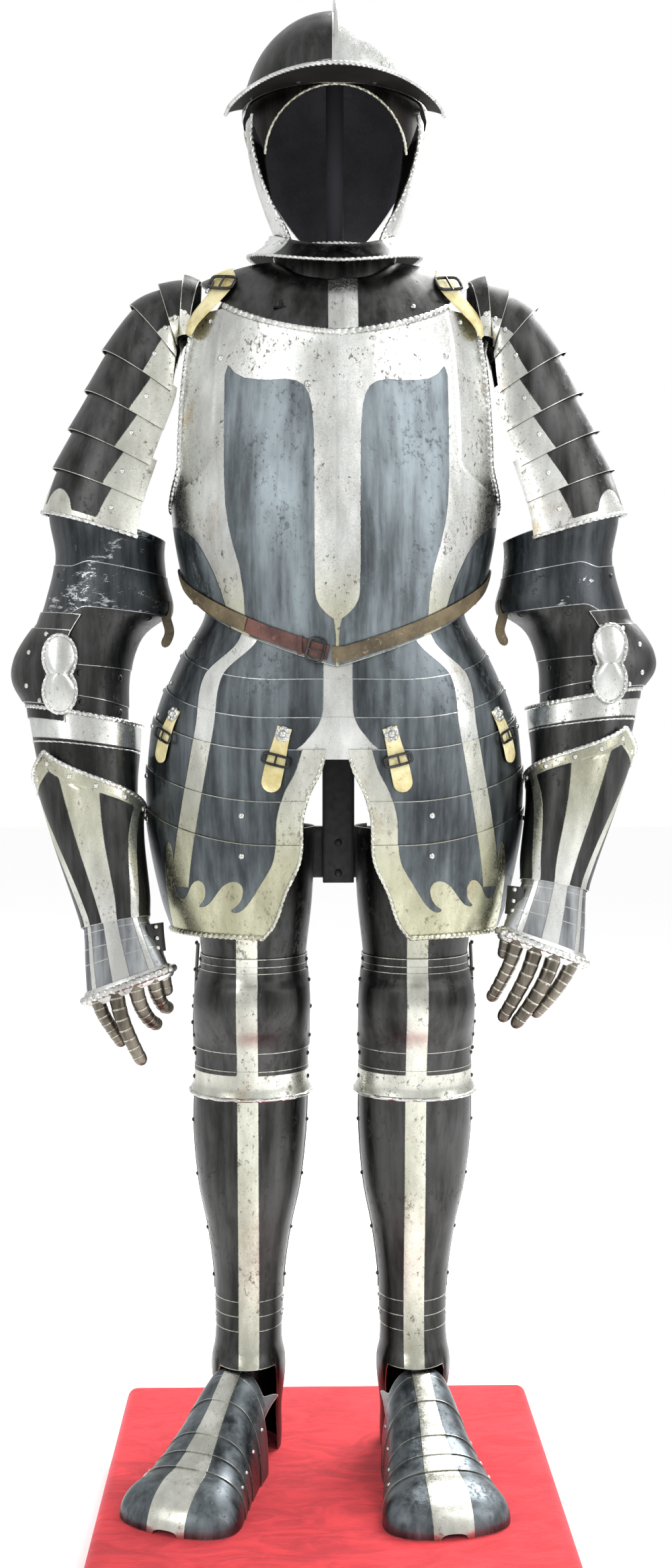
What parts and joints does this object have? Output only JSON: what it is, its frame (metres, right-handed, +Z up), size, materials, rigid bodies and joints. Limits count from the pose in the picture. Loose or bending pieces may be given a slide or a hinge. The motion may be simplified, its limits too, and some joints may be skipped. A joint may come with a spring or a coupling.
{
  "type": "suit of plate armour on a display stand",
  "caption": "Full plate armour for a standing figure: open-faced helmet, gorget, breastplate, pauldrons, gauntlets, tassets and leg plates over a black frame on a velvet plinth.",
  "frame": {"origin": "centre of the plinth's underside", "axes": "+Z up, -Y towards the front of the armour, +X towards the wearer's left"},
  "size_m": [0.8162, 0.56, 1.967],
  "materials": {
    "steel": "bright pitted steel",
    "blackened": "blue-grey blackened steel with bright bands",
    "leather": "worn brown leather",
    "buff": "worn buff leather",
    "velvet": "red velvet",
    "painted_steel": "black paint"
  },
  "bodies": {
    "root": {"breastplate": "steel", "gusset_right": "steel", "gusset_left": "steel", "backplate": "blackened", "gorget_front": "blackened", "gorget_back": "blackened", "gorget_collar": "blackened", "helmet_skull": "steel", "helmet_peak": "steel", "helmet_cheek_right": "steel", "helmet_cheek_left": "steel", "helmet_neck_guard": "steel", "fauld_lame_1": "blackened", "fauld_lame_2": "blackened", "fauld_lame_3": "blackened", "tasset_right_1": "blackened", "tasset_right_2": "blackened", "tasset_right_3": "blackened", "tasset_left_1": "blackened", "tasset_left_2": "blackened", "tasset_left_3": "blackened", "waist_belt": "leather", "pauldron_right_1": "blackened", "pauldron_right_2": "blackened", "pauldron_right_3": "blackened", "pauldron_right_4": "blackened", "upper_cannon_right": "blackened", "couter_right": "blackened", "elbow_lames_right": "blackened", "lower_cannon_right": "blackened", "gauntlet_cuff_right": "blackened", "gauntlet_hand_right": "blackened", "gauntlet_fingers_right": "steel", "pauldron_left_1": "blackened", "pauldron_left_2": "blackened", "pauldron_left_3": "blackened", "pauldron_left_4": "blackened", "upper_cannon_left": "blackened", "couter_left": "blackened", "elbow_lames_left": "blackened", "lower_cannon_left": "blackened", "gauntlet_cuff_left": "blackened", "gauntlet_hand_left": "blackened", "gauntlet_fingers_left": "steel", "shoulder_strap_right": "buff", "tasset_strap_inner_right": "buff", "tasset_strap_outer_right": "buff", "shoulder_strap_left": "buff", "tasset_strap_inner_left": "buff", "tasset_strap_outer_left": "buff", "cuisse_right": "blackened", "poleyn_right": "blackened", "greave_right": "blackened", "sabaton_right": "blackened", "cuisse_left": "blackened", "poleyn_left": "blackened", "greave_left": "blackened", "sabaton_left": "blackened", "stand_frame": "painted_steel", "plinth": "velvet"}
  },
  "joints": []
}
